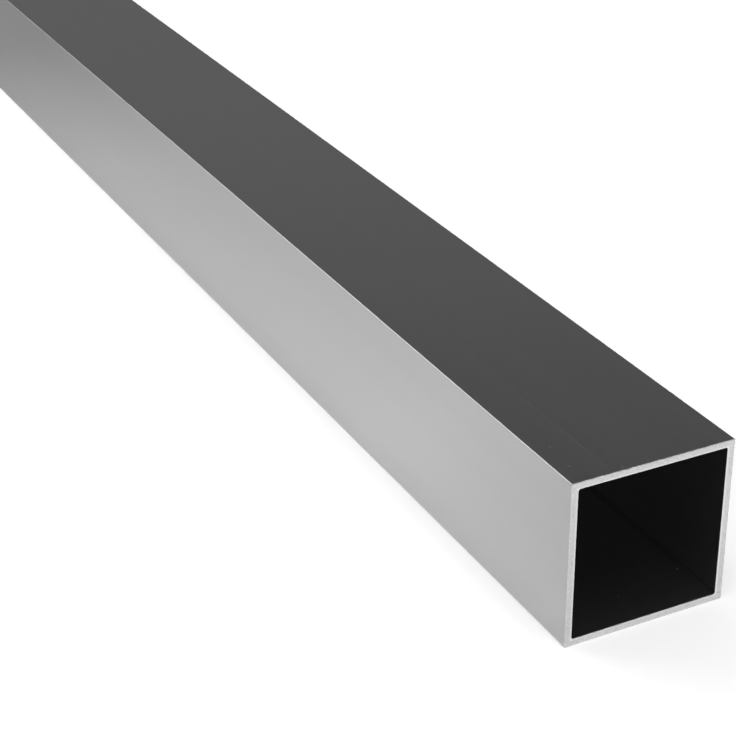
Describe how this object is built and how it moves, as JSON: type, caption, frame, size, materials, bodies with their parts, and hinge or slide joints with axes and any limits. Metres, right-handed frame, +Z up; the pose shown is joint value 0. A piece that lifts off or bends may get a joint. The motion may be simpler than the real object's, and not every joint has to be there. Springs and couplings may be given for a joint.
{
  "type": "square metal tube",
  "caption": "Straight length of thin-walled square aluminium tube with sawn ends, for frames, posts and plug-in connectors.",
  "frame": {"origin": "on the floor plane, under the middle of the tube's lower face", "axes": "+X along the tube, towards the sawn end that the picture shows; +Z up, out of the upper face; the tube lies on its lower face"},
  "size_m": [1, 0.0356, 0.0355],
  "materials": {
    "anodised_aluminium": "satin natural anodised, with bare saw-cut ends"
  },
  "bodies": {
    "root": {"square_tube": "anodised_aluminium"}
  },
  "joints": []
}
